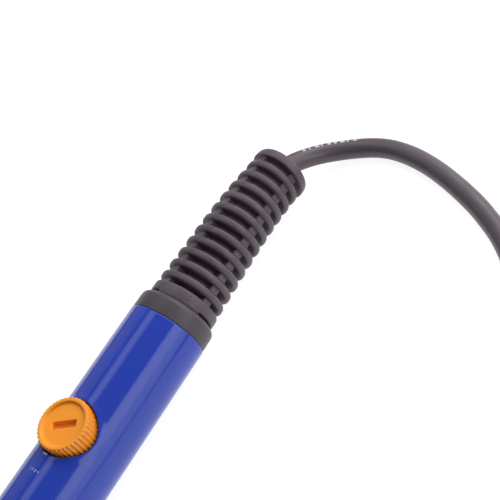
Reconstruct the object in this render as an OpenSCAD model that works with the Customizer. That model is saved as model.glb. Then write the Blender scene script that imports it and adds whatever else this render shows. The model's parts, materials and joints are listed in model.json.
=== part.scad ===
// Temperature-controlled pencil soldering iron for stained glass work.
// The iron lies on a table with its dial up: X runs along the handle, the tip points to +X,
// the cord leaves at -X, Z = 0 is the table. All lengths are millimetres.

/* [Handle] */
// Outside diameter of the handle tube
tube_d = 22; // [21:0.5:23]
// Wall of the handle tube
tube_wall = 1.8; // [1.6:0.1:2]
// Length of the handle tube
tube_len = 110; // [108:1:114]
// Length of the soft grip sleeve
grip_len = 44; // [40:1:46]
// Thickness of the soft grip sleeve
grip_t = 1.5; // [1.4:0.1:1.6]
// Diameter of the hand guard
guard_d = 30; // [28:1:34]

/* [Dial] */
// Distance from the handle's rear rim to the dial's axis
dial_from_rim = 35.6; // [34:0.2:38]
// Diameter over the dial's knurls
dial_d = 14.4; // [14:0.1:14.6]
// Radial gap between the dial and its opening
dial_gap = 0.27; // [0.25:0.01:0.35]
// Height of the dial above the crown of the tube
dial_proud = 2; // [1.5:0.1:2.5]
// Number of knurls round the dial
dial_knurls = 40; // [36:1:44]
// Direction of the screwdriver slot, from the handle's axis
slot_angle = 121; // [100:1:140]

/* [Strain relief] */
// Number of rings on the strain relief
ring_count = 11; // [9:1:11]
// Distance from ring to ring
ring_pitch = 3.9; // [3.7:0.1:4]
// Thickness of one ring
ring_t = 2.2; // [2:0.1:2.4]
// Radius of the ring next to the handle
ring_r_first = 9.42; // [9:0.02:9.8]
// Radius lost from ring to ring
ring_r_step = 0.12; // [0.1:0.01:0.14]
// Angle of the first rib between the rings, from the top
rib_angle = -19; // [-30:1:30]

/* [Hot end] */
// Outside diameter of the barrel that holds the tip
barrel_d = 12; // [11.8:0.1:12.4]
// Wall of the barrel
barrel_wall = 0.6; // [0.5:0.1:0.7]
// Diameter of the tip's shank
tip_d = 8.2; // [7.8:0.1:8.4]
// Width of the chisel edge
chisel_w = 6.5; // [5:0.5:7]
// Diameter of the ceramic heater
heater_d = 5; // [4.8:0.1:5.2]
// Outside diameter of the threaded bush
thread_d = 14; // [13.8:0.1:14.4]

/* [Cord and plug] */
// Diameter of the mains lead
cord_d = 5.6; // [5.4:0.1:5.8]
// Distance between the turns of the coil
coil_pitch = 5.65; // [5.6:0.05:5.8]
// Radius of the coil's innermost turn
coil_r_inner = 24; // [23:0.5:26]

/* [Hidden] */

$fn = 64;
eps = 0.01;
press_gap = 0.02;

// Handle
axis_z = tube_d / 2;
rim_x = -58;
tube_front_x = rim_x + tube_len;
grip_x = 4;
guard_x = grip_x + grip_len;
neck_r = tube_d / 2 - grip_t;
bore_r = tube_d / 2 - tube_wall;
front_bore_r = 7.7;
step_x = 2;
guard_r = guard_d / 2;
guard_edge = 1.3;
nose_base_r = 10.9;
nose_x = 58;
nose_r = 8.6;
screw_x = 46;

// Dial and potentiometer
dial_x = rim_x + dial_from_rim;
dial_top = tube_d + dial_proud;
dial_base = 15.5;
dial_r = dial_d / 2;
well_r = dial_r + dial_gap;
knurl_depth = 0.4;
face_r = 5.9;
face_depth = 0.7;
slot_len = 6.7;
slot_w = 1.9;
slot_depth = 1.5;
shaft_r = 3;
shaft_fit = 0.05;
shaft_top = 20.5;
pot_top = 13.2;
pot_size = 9.6;
shaft_base = 11.25;
pot_neck_r = 4.2;
pot_neck_top = 15;

// Circuit board
board_x0 = -44;
board_x1 = -1;
board_w = 14;
board_t = 1.6;
board_z = 5.6;
board_top = board_z + board_t;

// Rear cap and strain relief: stations along the handle's axis, and the bend of the last rings
cap_end_x = -63.7;
cap_r = 10.86;
cap_round = 1.8;
spigot_x1 = rim_x + 3.5;
boot_neck_r = 7.4;
collar_x0 = -64.3;
collar_x1 = -67.3;
collar_r = 9.5;
first_ring_x = -69.8;
core_r = 5.4;
boot_cap_x0 = -111.5;
boot_cap_x1 = -114.6;
boot_cap_r = 8.38;
bend_start_x = -88;
bend_side = 0.00123;
bend_drop = 0.00233;
rib_w = 2.8;
rib_inset = 0.8;
rib_bite = 0.4;
cap_edge = 1.2;
ring_edge = 0.8;

// Hot end
bush_x0 = 42;
bush_end_x = 66;
bush_bore_r = 5.2;
nut_x0 = 59;
nut_x1 = 72;
nut_r = 9.5;
nut_knurls = 36;
flange_x0 = 66.1;
flange_x1 = 67.5;
flange_r = 6.75;
barrel_x1 = 100.2;
barrel_neck_x1 = 74.2;
barrel_lip = 1.2;
barrel_r = barrel_d / 2;
barrel_neck_r = barrel_r - 0.25;
tip_x0 = 68;
tip_end_x = 116.1;
tip_bore_end = 97;
tip_r = tip_d / 2;
shoulder_r = 5.1;
heater_x0 = 45;
heater_x1 = 96;
heater_fit = 0.1;
holder_x0 = 44;
holder_x1 = 54.5;

// Cord: route points chosen by hand, coil and plug positions
cord_r = cord_d / 2;
jacket_gap = 0.05;
clamp_x = rim_x + 5.2;
jacket_end_x = rim_x + 11.4;
lead_route = [
    [-113, 0.8, 9.6], [-117.2, 1.6, 8.5], [-121.2, 3.2, 6.8], [-125, 5.7, 5.1],
    [-128.2, 9.1, 3.8], [-130.8, 13.3, 3.1], [-132.7, 17.8, 2.8], [-133.6, 22.7, 2.8],
    [-133.5, 27.7, 2.8], [-132.7, 32.6, 2.8], [-131.4, 37.4, 2.8], [-129.7, 42.1, 2.8],
    [-127.7, 46.7, 2.8], [-125.5, 51.2, 2.8], [-123.1, 55.6, 2.8], [-120.4, 59.8, 2.8],
    [-117.5, 63.9, 2.8], [-114.2, 67.7, 2.8], [-110.4, 71.4, 2.8], [-106, 75.2, 2.8],
    [-101.2, 79.1, 2.8], [-96.3, 83.1, 2.8], [-91.3, 87.3, 2.8], [-86.4, 91.8, 2.8]
];
tail_route = [
    [-79.4, 100.4, 8.4], [-76, 105.5, 7.9], [-71.7, 109.7, 6.7], [-66.3, 112.9, 5.2],
    [-60.3, 114.9, 3.9], [-54, 115.6, 3.1], [-47.5, 115.8, 2.8], [-41, 115.8, 2.8],
    [-35, 115.8, 3.2], [-29, 115.8, 4.6], [-23, 115.8, 6.8], [-17, 115.8, 9.1],
    [-11, 115.8, 10.6], [-4, 115.8, 11]
];
coil_centre = [-110, 118];
coil_columns = 3;
coil_layers = 2;
coil_in = coil_r_inner - cord_r;
coil_out = coil_r_inner + (coil_columns - 1) * coil_pitch + cord_r;
coil_h = coil_layers * cord_d;
tie_angle = 150;
tie_w = 6;
tie_t = 0.8;
plug_y = 115.8;
plug_z = 11;
plug_boot_x = -5;
plug_x0 = 20;
plug_x1 = 52;
plug_w = 25;
plug_h = 23.5;
blade_z = 6.6;
blade_gap = 12.7;
pin_rise = 11.86;
pin_r = 2.38;

// Colours
blue = "#3646a8";
orange = "#ee9a2e";
black = "#2f2b2f";
dark_grey = "#3d3d40";
steel = "#b9bcc0";
nickel = "#cfd1d4";
ceramic = "#e9e4da";

// A cylinder along X from x0 to x1
module bar(x0, x1, r) {
    translate([x0, 0, 0]) rotate([0, 90, 0]) cylinder(h = x1 - x0, r = r);
}

// Moves its children to the handle's axis
module on_axis() {
    translate([0, 0, axis_z]) children();
}

// Revolves a profile drawn as [distance along X, radius] about the X axis
module turned() {
    rotate([90, 0, 90]) rotate([0, 0, 90]) rotate_extrude() mirror([1, 0, 0]) rotate([0, 0, 90]) children();
}

// A ring along X with a bore
module ring(x0, x1, r, inner) {
    difference() {
        bar(x0, x1, r);
        bar(x0 - 1, x1 + 1, inner);
    }
}

// Outline with straight knurls: a star with one point per knurl
module knurled_outline(r, depth, count) {
    polygon([for (i = [0 : 2 * count - 1])
        let (a = 180 * i / count, rr = i % 2 == 0 ? r : r - depth) [rr * cos(a), rr * sin(a)]]);
}

function unit(v) = v / norm(v);
function heading(p, i) = unit(p[min(i + 1, len(p) - 1)] - p[max(i - 1, 0)]);

// A round tube swept along a list of points
module swept(p, r, sides) {
    last = len(p) - 1;
    rings = [for (i = [0 : last])
        let (t = heading(p, i), s = unit(cross(t, [0, 0, 1])), u = cross(s, t))
        for (k = [0 : sides - 1])
        p[i] + r * (cos(360 * k / sides) * s + sin(360 * k / sides) * u)];
    walls = [for (i = [0 : last - 1]) for (k = [0 : sides - 1])
        let (n = (k + 1) % sides)
        [i * sides + k, i * sides + n, (i + 1) * sides + n, (i + 1) * sides + k]];
    first_cap = [[for (k = [sides - 1 : -1 : 0]) k]];
    last_cap = [[for (k = [0 : sides - 1]) last * sides + k]];
    polyhedron(points = rings, faces = concat(walls, first_cap, last_cap));
}

// ---- Handle ----

module board_rails() {
    for (s = [-1, 1]) {
        translate([board_x0, s > 0 ? 6.2 : -9.2, board_z - 1.2]) cube([board_x1 - board_x0, 3, 1.15]);
        translate([board_x0, s > 0 ? 6.4 : -9.4, board_top + 0.05]) cube([board_x1 - board_x0, 3, 1.15]);
    }
}

module handle_tube() {
    color(blue) {
        difference() {
            on_axis() union() {
                bar(rim_x, grip_x, tube_d / 2);
                bar(grip_x - 1, tube_front_x, neck_r);
            }
            on_axis() bar(rim_x - 1, step_x, bore_r);
            on_axis() bar(step_x - 1, tube_front_x + 1, front_bore_r);
            translate([dial_x, 0, axis_z]) cylinder(h = tube_d, r = well_r);
            translate([screw_x, 0, axis_z]) rotate([90, 0, 0]) cylinder(h = tube_d * 2, r = 1.3, center = true);
        }
        intersection() {
            board_rails();
            on_axis() bar(rim_x, step_x, bore_r + 0.4);
        }
    }
}

module grip_sleeve() {
    grooves = 8;
    color(dark_grey) on_axis() difference() {
        bar(grip_x, guard_x, tube_d / 2);
        bar(grip_x - 1, guard_x + 1, neck_r);
        for (i = [0 : grooves - 1])
            translate([grip_x + 6 + i * (grip_len - 12) / (grooves - 1), 0, 0])
                ring(-0.8, 0.8, tube_d, tube_d / 2 - 0.6);
    }
}

module hand_guard() {
    color(black) difference() {
        on_axis() union() {
            turned() {
                polygon([[guard_x, 0], [guard_x, guard_r - guard_edge], [guard_x + guard_edge, guard_r],
                         [tube_front_x - guard_edge, guard_r], [tube_front_x, guard_r - guard_edge],
                         [tube_front_x, 0]]);
                polygon([[tube_front_x, 0], [tube_front_x, nose_base_r], [nose_x, nose_r], [nose_x, 0]]);
            }
        }
        on_axis() bar(guard_x - 1, tube_front_x, neck_r);
        on_axis() bar(guard_x, nose_x + 1, thread_d / 2);
        // flat that rests on the table and keeps the iron from rolling
        translate([guard_x - 1, -guard_d, -guard_d]) cube([guard_d, 2 * guard_d, guard_d]);
    }
}

module rear_cap() {
    color(black) on_axis() difference() {
        turned() {
            translate([cap_end_x + cap_round, 0]) square([rim_x - cap_end_x - cap_round, cap_r]);
            translate([cap_end_x, 0]) square([cap_round, cap_r - cap_round]);
            translate([cap_end_x + cap_round, cap_r - cap_round]) circle(cap_round);
            translate([rim_x, 0]) square([spigot_x1 - rim_x, bore_r - press_gap]);
        }
        bar(cap_end_x - 1, rim_x + 5, boot_neck_r);
    }
}

// ---- Strain relief ----

function bend_run(x) = max(0, bend_start_x - x);
function on_bend(x) = [x, bend_side * pow(bend_run(x), 2), axis_z - bend_drop * pow(bend_run(x), 2)];

// Moves its children, drawn about the X axis at x = 0, to a station of the bent strain relief
module at_station(x) {
    u = bend_run(x);
    translate(on_bend(x))
        rotate([0, -atan(2 * bend_drop * u), atan(-2 * bend_side * u)]) children();
}

// A round bar that follows the bend, straight up to the bend's start
module bent_bar(x0, x1, r) {
    swept(concat([on_bend(x0)], [for (x = [bend_start_x : -3 : x1 + 1]) on_bend(x)], [on_bend(x1)]), r, 16);
}

module boot_ring(r) {
    edge = ring_edge;
    turned() {
        translate([-ring_t / 2, 0]) square([ring_t, r - edge]);
        translate([edge - ring_t / 2, 0]) square([ring_t - 2 * edge, r]);
        for (s = [-1, 1]) translate([s * (ring_t / 2 - edge), r - edge]) circle(edge);
    }
}

// Four ribs that join one ring to the next
module ribs(r) {
    length = ring_pitch - ring_t + 2 * rib_bite;
    for (k = [0 : 3])
        rotate([-(rib_angle + 90 * k), 0, 0])
            translate([-length / 2, -rib_w / 2, 0]) cube([length, rib_w, r]);
}

module strain_relief() {
    cap_len = boot_cap_x0 - boot_cap_x1;
    color(black) difference() {
        union() {
            on_axis() {
                bar(collar_x1, spigot_x1, boot_neck_r);
                bar(spigot_x1, spigot_x1 + 1.5, 8.6);
                bar(collar_x1, collar_x0, collar_r);
                // bridges that close the groove behind the cap at the top and the bottom
                intersection() {
                    bar(collar_x0 - 1, cap_end_x, collar_r - 0.3);
                    rotate([-(rib_angle + 45), 0, 0])
                        translate([collar_x0 - 2, -6.6, -collar_r]) cube([4, 13.2, 2 * collar_r]);
                }
            }
            bent_bar(collar_x1 + 1, boot_cap_x0 - 1, core_r);
            for (i = [0 : ring_count - 1])
                at_station(first_ring_x - i * ring_pitch) boot_ring(ring_r_first - i * ring_r_step);
            for (i = [0 : ring_count])
                at_station(first_ring_x + (0.5 - i) * ring_pitch) ribs(ring_r_first - i * ring_r_step - rib_inset);
            at_station(boot_cap_x0) turned() {
                translate([-cap_len + cap_edge, 0]) square([cap_len - cap_edge, boot_cap_r]);
                translate([-cap_len, 0]) square([cap_edge, boot_cap_r - cap_edge]);
                translate([-cap_len + cap_edge, boot_cap_r - cap_edge]) circle(cap_edge);
            }
        }
        bent_bar(spigot_x1 + 3, boot_cap_x1 - 4, cord_r);
    }
}

// ---- Dial ----

module dial_knob() {
    color(orange) translate([dial_x, 0, 0]) difference() {
        translate([0, 0, dial_base]) linear_extrude(dial_top - dial_base)
            knurled_outline(dial_r, knurl_depth, dial_knurls);
        translate([0, 0, dial_top - face_depth]) cylinder(h = 2, r = face_r);
        rotate([0, 0, slot_angle])
            translate([-slot_len / 2, -slot_w / 2, dial_top - face_depth - slot_depth])
                cube([slot_len, slot_w, 3]);
        translate([0, 0, dial_base - 1]) cylinder(h = shaft_top - dial_base + 1, r = shaft_r);
        difference() {
            translate([0, 0, dial_base - 1]) cylinder(h = 6, r = dial_r - 1.5);
            translate([0, 0, dial_base - 2]) cylinder(h = 8, r = shaft_r + 1.6);
        }
    }
}

module pot_shaft() {
    color(nickel) translate([dial_x, 0, shaft_base]) cylinder(h = shaft_top - shaft_base, r = shaft_r);
}

module pot_body() {
    color("#3a5f8a") translate([dial_x, 0, 0]) difference() {
        union() {
            translate([-pot_size / 2, -pot_size / 2, board_top]) cube([pot_size, pot_size, pot_top - board_top]);
            translate([0, 0, pot_top - 1]) cylinder(h = pot_neck_top - pot_top + 1, r = pot_neck_r);
            for (y = [-2.5, 0, 2.5])
                translate([pot_size / 2 - 1.5, y - 0.3, board_z - 0.4]) cube([0.4, 0.6, 3]);
        }
        translate([0, 0, shaft_base - 0.05]) cylinder(h = 10, r = shaft_r + shaft_fit);
    }
}

// ---- Circuit ----

module circuit_board() {
    color("#2f7a4f") difference() {
        translate([board_x0, -board_w / 2, board_z]) cube([board_x1 - board_x0, board_w, board_t]);
        for (y = [-2.5, 0, 2.5])
            translate([dial_x + pot_size / 2 - 1.3, y, board_z - 1]) cylinder(h = 4, r = 0.6, $fn = 24);
    }
}

// Moves its children onto the board, x and y from the board's rear end and middle
module on_board(x, y) {
    translate([board_x0 + x, y, board_top]) children();
}

module triac() {
    color(black) on_board(5.2, -4) difference() {
        cube([8, 8, 2.8]);
        translate([2.2, 4, -1]) cylinder(h = 5, r = 1.5);
    }
    color(nickel) for (y = [-2.3, 0, 2.3]) {
        on_board(13.2 - eps, y - 0.35) translate([0, 0, 1.2]) cube([1.4, 0.7, 0.5]);
        on_board(14.1, y - 0.35) cube([0.5, 0.7, 1.3]);
    }
}

module control_chip() {
    color("#1d1d20") on_board(30.9, -5.4) translate([0, 0, 0.5]) cube([9, 6.2, 3.2]);
    color(nickel) for (i = [0 : 3]) for (y = [-5.9, 0.8 - eps])
        on_board(31.3 + i * 2.54, y) cube([0.6, 0.5 + eps, 2]);
}

module film_capacitor() {
    color("#a8322c") on_board(28.8, 1.7) cube([11, 4.4, 8]);
}

module smoothing_capacitor() {
    color("#24242a") on_board(28.7, -2.6) cylinder(h = 7, r = 2);
}

// An axial part with its two bent legs, lying along X
module axial_part(length, r) {
    leg_x = length / 2 + 1.3;
    translate([0, 0, 1.3]) {
        bar(-length / 2, length / 2, r);
        bar(-leg_x, leg_x, 0.3);
    }
    for (s = [-1, 1])
        translate([s * leg_x, 0, 0]) {
            cylinder(h = 1.3, r = 0.3);
            translate([0, 0, 1.3]) sphere(r = 0.3);
        }
}

module resistors() {
    color("#c9b37a") for (y = [-5.2, 5.2]) on_board(9.4, y) axial_part(5.4, 0.85);
}

module diodes() {
    color("#1d1d20") for (y = [-5.45, 5.45]) on_board(21.6, y) axial_part(3.6, 0.6);
}

// ---- Cord inside the handle ----

module clamp_half(side) {
    x0 = clamp_x;
    difference() {
        intersection() {
            on_axis() bar(x0, x0 + 5, 8.4);
            translate([x0 - 1, -10, side > 0 ? axis_z + 0.2 : axis_z - 10.2]) cube([8, 20, 10]);
        }
        on_axis() bar(x0 - 1, x0 + 6, cord_r - jacket_gap);
        for (y = [-5.4, 5.4]) {
            translate([x0 + 2.5, y, axis_z - 12]) cylinder(h = 24, r = 1.25);
            translate([x0 + 2.5, y, axis_z + 3.4]) cylinder(h = 10, r = 2.3);
        }
    }
}

module cord_clamp_lower() {
    color(dark_grey) clamp_half(-1);
}

module cord_clamp_upper() {
    color(dark_grey) clamp_half(1);
}

module cord_clamp_screws() {
    x = clamp_x + 2.5;
    color(steel) for (y = [-5.4, 5.4]) {
        translate([x, y, axis_z - 4.6]) cylinder(h = 8.1, r = 1.25);
        translate([x, y, axis_z + 3.45]) difference() {
            cylinder(h = 1.5, r = 2.2);
            translate([-3, -0.3, 0.9]) cube([6, 0.6, 2]);
        }
    }
}

module cord_jacket() {
    color(black) bent_bar(jacket_end_x, boot_cap_x0 - 1.5, cord_r - jacket_gap);
}

// One core of the cord, from the end of the jacket to its pad on the board
module core(y0, z0, y1) {
    route = [
        [jacket_end_x, y0, axis_z + z0], [jacket_end_x + 1.4, y0, axis_z + z0],
        [jacket_end_x + 3, (y0 + y1) / 2, 10], [jacket_end_x + 4.4, y1, 8.6],
        [jacket_end_x + 6, y1, board_top + 0.6]
    ];
    swept(route, 0.75, 8);
}

module core_live() {
    color("#1c1c1e") core(1.1, 0.7, 3.4);
}

module core_neutral() {
    color("#e8e6e0") core(-1.1, 0.7, -3.4);
}

module core_earth() {
    color("#3f8f4a") core(0, -1.2, 0);
}

// ---- Hot end ----

module threaded_bush() {
    color(nickel) on_axis() difference() {
        union() {
            bar(bush_x0, tube_front_x - eps, front_bore_r - 0.02);
            bar(tube_front_x - 1, bush_end_x, thread_d / 2 - 0.02);
        }
        bar(bush_x0 - 1, bush_end_x + 1, bush_bore_r);
        translate([screw_x, 0, 0]) rotate([90, 0, 0]) cylinder(h = tube_d * 2, r = 1.05, center = true);
    }
}

module bush_screws() {
    color(steel) for (s = [-1, 1])
        translate([screw_x, s * 5.6, axis_z]) rotate([-90 * s, 0, 0]) {
            cylinder(h = 3.8, r = 1.05);
            translate([0, 0, 2.6]) cylinder(h = 1.2, r = 1.25);
        }
}

module barrel_nut() {
    color(steel) on_axis() difference() {
        translate([nut_x0, 0, 0]) rotate([90, 0, 90]) linear_extrude(nut_x1 - nut_x0)
            knurled_outline(nut_r, 0.4, nut_knurls);
        bar(nut_x0 - 1, flange_x1 + 0.1, thread_d / 2 + 0.03);
        bar(nut_x0, nut_x1 + 1, barrel_r + 0.3);
        ring(nut_x0 - 1, nut_x0 + 0.8, nut_r + 1, nut_r - 0.8);
        ring(nut_x1 - 0.8, nut_x1 + 1, nut_r + 1, nut_r - 0.8);
    }
}

module tip_barrel() {
    vents = 6;
    color(steel) on_axis() difference() {
        union() {
            bar(flange_x0, flange_x1, flange_r);
            bar(flange_x0, barrel_neck_x1, barrel_neck_r);
            bar(barrel_neck_x1, barrel_x1, barrel_r);
        }
        bar(flange_x0 - 1, barrel_x1 - barrel_lip, barrel_r - barrel_wall);
        bar(barrel_x1 - 3, barrel_x1 + 1, tip_r + 0.3);
        for (x = [77, 83, 89]) for (k = [0 : vents - 1])
            translate([x, 0, 0]) rotate([k * 360 / vents + (x == 83 ? 30 : 0), 0, 0])
                cylinder(h = 10, r = 1.2, $fn = 32);
    }
}

module chisel_tip() {
    shoulder_x1 = barrel_x1 - barrel_lip - 0.1;
    taper_x = 105;
    color("#8f8a86") on_axis() difference() {
        intersection() {
            union() {
                bar(tip_x0, tip_end_x, tip_r);
                bar(shoulder_x1 - 4, shoulder_x1, shoulder_r);
            }
            // flats of the chisel, seen from the side
            translate([0, 20, 0]) rotate([90, 0, 0]) linear_extrude(40)
                polygon([[tip_x0 - 1, -8], [100, -8], [taper_x, -tip_r], [tip_end_x, -0.45],
                         [tip_end_x, 0.45], [taper_x, tip_r], [100, 8], [tip_x0 - 1, 8]]);
            // narrowing of the chisel, seen from above
            translate([0, 0, -20]) linear_extrude(40)
                polygon([[tip_x0 - 1, -8], [100, -8], [taper_x, -tip_r], [tip_end_x + 1, -chisel_w / 2],
                         [tip_end_x + 1, chisel_w / 2], [taper_x, tip_r], [100, 8], [tip_x0 - 1, 8]]);
        }
        bar(tip_x0 - 1, tip_bore_end, heater_d / 2 + heater_fit);
    }
}

module ceramic_heater() {
    color(ceramic) on_axis() {
        bar(heater_x0, heater_x1, heater_d / 2);
        bar(heater_x0 + 4, heater_x0 + 6, 3.6);
    }
}

module heater_holder() {
    color("#d8cdb8") on_axis() difference() {
        bar(holder_x0, holder_x1, bush_bore_r - 0.02);
        bar(holder_x0 - 1, holder_x1 + 1, heater_d / 2 + 0.02);
        bar(heater_x0 + 3.98, heater_x0 + 6.02, 3.62);
    }
}

// Start and end heights and sides of the four heater wires
lead_places = [[1.1, 1.1], [1.1, -1.1], [-1.1, 1.1], [-1.1, -1.1]];

module heater_leads() {
    color(nickel) for (p = lead_places)
        swept([
            [heater_x0 - 0.1, p[0], axis_z + p[1]], [36, p[0] * 1.4, axis_z + p[1] * 1.2],
            [24, p[0] * 2, axis_z + p[1]], [10, p[0] * 2.6, 9.8 + p[1]],
            [3, p[0] * 2.8, 8.6 + p[1] * 0.3], [-2.4, p[0] * 2.8 + p[1] * 0.9, board_top + 0.4]
        ], 0.3, 8);
}

module lead_sleeves() {
    color("#efe9d8") for (p = lead_places)
        difference() {
            swept([[36, p[0] * 1.4, axis_z + p[1] * 1.2], [24, p[0] * 2, axis_z + p[1]],
                   [10, p[0] * 2.6, 9.8 + p[1]]], 0.75, 10);
            swept([[38, p[0] * 1.3, axis_z + p[1] * 1.2], [36, p[0] * 1.4, axis_z + p[1] * 1.2],
                   [24, p[0] * 2, axis_z + p[1]], [10, p[0] * 2.6, 9.8 + p[1]],
                   [8, p[0] * 2.66, 9.4 + p[1]]], 0.33, 8);
        }
}

module earth_spring() {
    turns = 6;
    steps = 14;
    x0 = holder_x1 + 0.4;
    x1 = tip_x0 - 0.4;
    spring_r = 3.8;
    helix = [for (i = [0 : turns * steps])
        let (a = 360 * i / steps)
        [spring_r * cos(a), spring_r * sin(a), (x1 - x0) * i / (turns * steps)]];
    rings = [for (i = [0 : len(helix) - 1])
        let (a = 360 * i / steps, out = [cos(a), sin(a), 0])
        for (k = [0 : 7]) helix[i] + 0.35 * (cos(45 * k) * out + sin(45 * k) * [0, 0, 1])];
    last = len(helix) - 1;
    color(steel) translate([x0, 0, axis_z]) rotate([0, 90, 0])
        polyhedron(points = rings, faces = concat(
            [for (i = [0 : last - 1]) for (k = [0 : 7]) let (n = (k + 1) % 8)
                [i * 8 + k, (i + 1) * 8 + k, (i + 1) * 8 + n, i * 8 + n]],
            [[for (k = [0 : 7]) k]], [[for (k = [7 : -1 : 0]) last * 8 + k]]));
}

// ---- Cord and plug ----

module cord_lead() {
    color(black) swept(lead_route, cord_r, 10);
}

module cord_tail() {
    color(black) swept(tail_route, cord_r, 10);
}

module cord_coil() {
    color(black) translate([coil_centre[0], coil_centre[1], 0]) rotate_extrude() {
        translate([coil_in + cord_r, 0]) square([coil_out - coil_in - cord_d, coil_h]);
        translate([coil_in, cord_r]) square([coil_out - coil_in, coil_h - cord_d]);
        for (x = [coil_in + cord_r, coil_out - cord_r]) for (y = [cord_r, coil_h - cord_r])
            translate([x, y]) circle(cord_r);
    }
}

module cord_tie() {
    run = coil_out - coil_in;
    color("#55555a") translate([coil_centre[0], coil_centre[1], 0]) rotate([0, 0, tie_angle])
        translate([coil_in - tie_t, tie_w / 2, 0]) rotate([90, 0, 0]) linear_extrude(tie_w)
            difference() {
                square([run + 2 * tie_t, coil_h + tie_t]);
                translate([tie_t, tie_t]) square([run, coil_h - tie_t]);
            }
}

// Flat on the blades' side, half round on the earth pin's side
module plug_outline() {
    translate([-plug_w / 2, 0]) square([plug_w, plug_h - plug_w / 2]);
    difference() {
        translate([0, plug_h - plug_w / 2]) circle(plug_w / 2);
        translate([-plug_w, -plug_w]) square([2 * plug_w, plug_w]);
    }
}

module plug_body() {
    color(black) translate([0, plug_y, 0]) difference() {
        union() {
            translate([plug_x0 + 6, 0, 0]) rotate([90, 0, 90]) linear_extrude(plug_x1 - plug_x0 - 6)
                plug_outline();
            translate([plug_x0, 0, plug_z]) rotate([0, 90, 0]) cylinder(h = 7, r1 = 8, r2 = 10.5);
        }
        for (s = [-1, 1])
            translate([plug_x1 - 8, s * blade_gap / 2 - 0.75, blade_z - 3.175]) cube([20, 1.5, 6.35]);
        translate([plug_x1 - 8, 0, blade_z + pin_rise]) rotate([0, 90, 0]) cylinder(h = 20, r = pin_r);
    }
}

module plug_strain_relief() {
    slots = 4;
    color(black) translate([0, plug_y, plug_z]) difference() {
        translate([plug_boot_x, 0, 0]) rotate([0, 90, 0])
            cylinder(h = plug_x0 - plug_boot_x, r1 = 4, r2 = 6.4);
        translate([plug_boot_x - 1, 0, 0]) rotate([0, 90, 0])
            cylinder(h = plug_x0 - plug_boot_x + 2, r = cord_r);
        for (i = [0 : slots - 1]) for (s = [-1, 1])
            translate([plug_boot_x + 4 + i * 4, s > 0 ? 3.4 : -13.4, -10]) cube([1.6, 10, 20]);
    }
}

module plug_blades() {
    color("#c9a75a") for (s = [-1, 1])
        translate([plug_x1 - 8, plug_y + s * blade_gap / 2 - 0.75, blade_z - 3.175])
            difference() {
                cube([8 + 17.5, 1.5, 6.35]);
                translate([8 + 13.5, -1, 3.175]) rotate([-90, 0, 0]) cylinder(h = 4, r = 1.6);
            }
}

module plug_earth_pin() {
    color("#c9a75a") translate([plug_x1 - 8, plug_y, blade_z + pin_rise]) rotate([0, 90, 0]) {
        cylinder(h = 8 + 19, r = pin_r);
        translate([0, 0, 8 + 19 - 0.4]) sphere(r = pin_r - 0.05);
    }
}

handle_tube();
grip_sleeve();
hand_guard();
rear_cap();
strain_relief();
dial_knob();
pot_shaft();
pot_body();
circuit_board();
triac();
control_chip();
film_capacitor();
smoothing_capacitor();
resistors();
diodes();
cord_clamp_lower();
cord_clamp_upper();
cord_clamp_screws();
cord_jacket();
core_live();
core_neutral();
core_earth();
threaded_bush();
bush_screws();
barrel_nut();
tip_barrel();
chisel_tip();
ceramic_heater();
heater_holder();
heater_leads();
lead_sleeves();
earth_spring();
cord_lead();
cord_coil();
cord_tail();
cord_tie();
plug_body();
plug_strain_relief();
plug_blades();
plug_earth_pin();
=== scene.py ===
import json
import math

import bmesh
import bpy
import numpy as np
from mathutils import Matrix, Vector


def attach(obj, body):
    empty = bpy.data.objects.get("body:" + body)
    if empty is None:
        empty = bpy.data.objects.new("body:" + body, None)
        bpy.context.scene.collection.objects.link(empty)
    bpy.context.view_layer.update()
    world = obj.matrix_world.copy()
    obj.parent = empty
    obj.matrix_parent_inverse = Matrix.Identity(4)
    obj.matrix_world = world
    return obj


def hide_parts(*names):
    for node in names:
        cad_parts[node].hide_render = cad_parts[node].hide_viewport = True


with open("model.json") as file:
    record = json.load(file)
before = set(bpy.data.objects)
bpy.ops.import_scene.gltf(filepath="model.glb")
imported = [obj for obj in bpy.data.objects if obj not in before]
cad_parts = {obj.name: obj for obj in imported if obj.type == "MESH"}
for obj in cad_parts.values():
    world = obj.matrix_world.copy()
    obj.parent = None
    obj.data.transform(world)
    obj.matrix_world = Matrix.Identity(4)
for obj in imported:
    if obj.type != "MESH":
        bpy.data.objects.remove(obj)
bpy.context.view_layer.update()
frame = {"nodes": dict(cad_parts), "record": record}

MM = 0.001
NODES = frame["nodes"]

# Main dimensions in millimetres, as in the CAD
AXIS_Z = 11.0
TUBE_R = 11.0
BORE_R = 9.2
RIM_X = -58.0
GRIP_X = 4.0
TUBE_FRONT_X = 52.0
NECK_R = 9.5
DIAL_X = -22.4
DIAL_TOP = 24.0
DIAL_BASE = 15.5
DIAL_R = 7.2
WELL_R = 7.47
CORD_R = 2.8


# ---------------------------------------------------------------- camera

def look(position, forward, up):
    f = Vector(forward).normalized()
    r = f.cross(Vector(up)).normalized()
    u = r.cross(f).normalized()
    m = Matrix((r, u, -f)).transposed().to_4x4()
    m.translation = Vector(position)
    return m


scene = bpy.context.scene
cam_data = bpy.data.cameras.new("camera")
cam_data.sensor_width = 36.0
cam_data.lens = 73.0
cam_data.clip_start = 0.01
cam_data.clip_end = 20.0
camera = bpy.data.objects.new("camera", cam_data)
scene.collection.objects.link(camera)
camera.matrix_world = look((0.0017, 0.1643, 0.2108), (-0.3306, -0.5812, -0.7436), (-0.7857, -0.267, 0.558))
scene.camera = camera


# ---------------------------------------------------------------- materials

def new_material(name):
    m = bpy.data.materials.new(name)
    m.use_nodes = True
    nt = m.node_tree
    nt.nodes.clear()
    out = nt.nodes.new("ShaderNodeOutputMaterial")
    bsdf = nt.nodes.new("ShaderNodeBsdfPrincipled")
    nt.links.new(bsdf.outputs[0], out.inputs[0])
    return m, nt, bsdf


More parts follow.
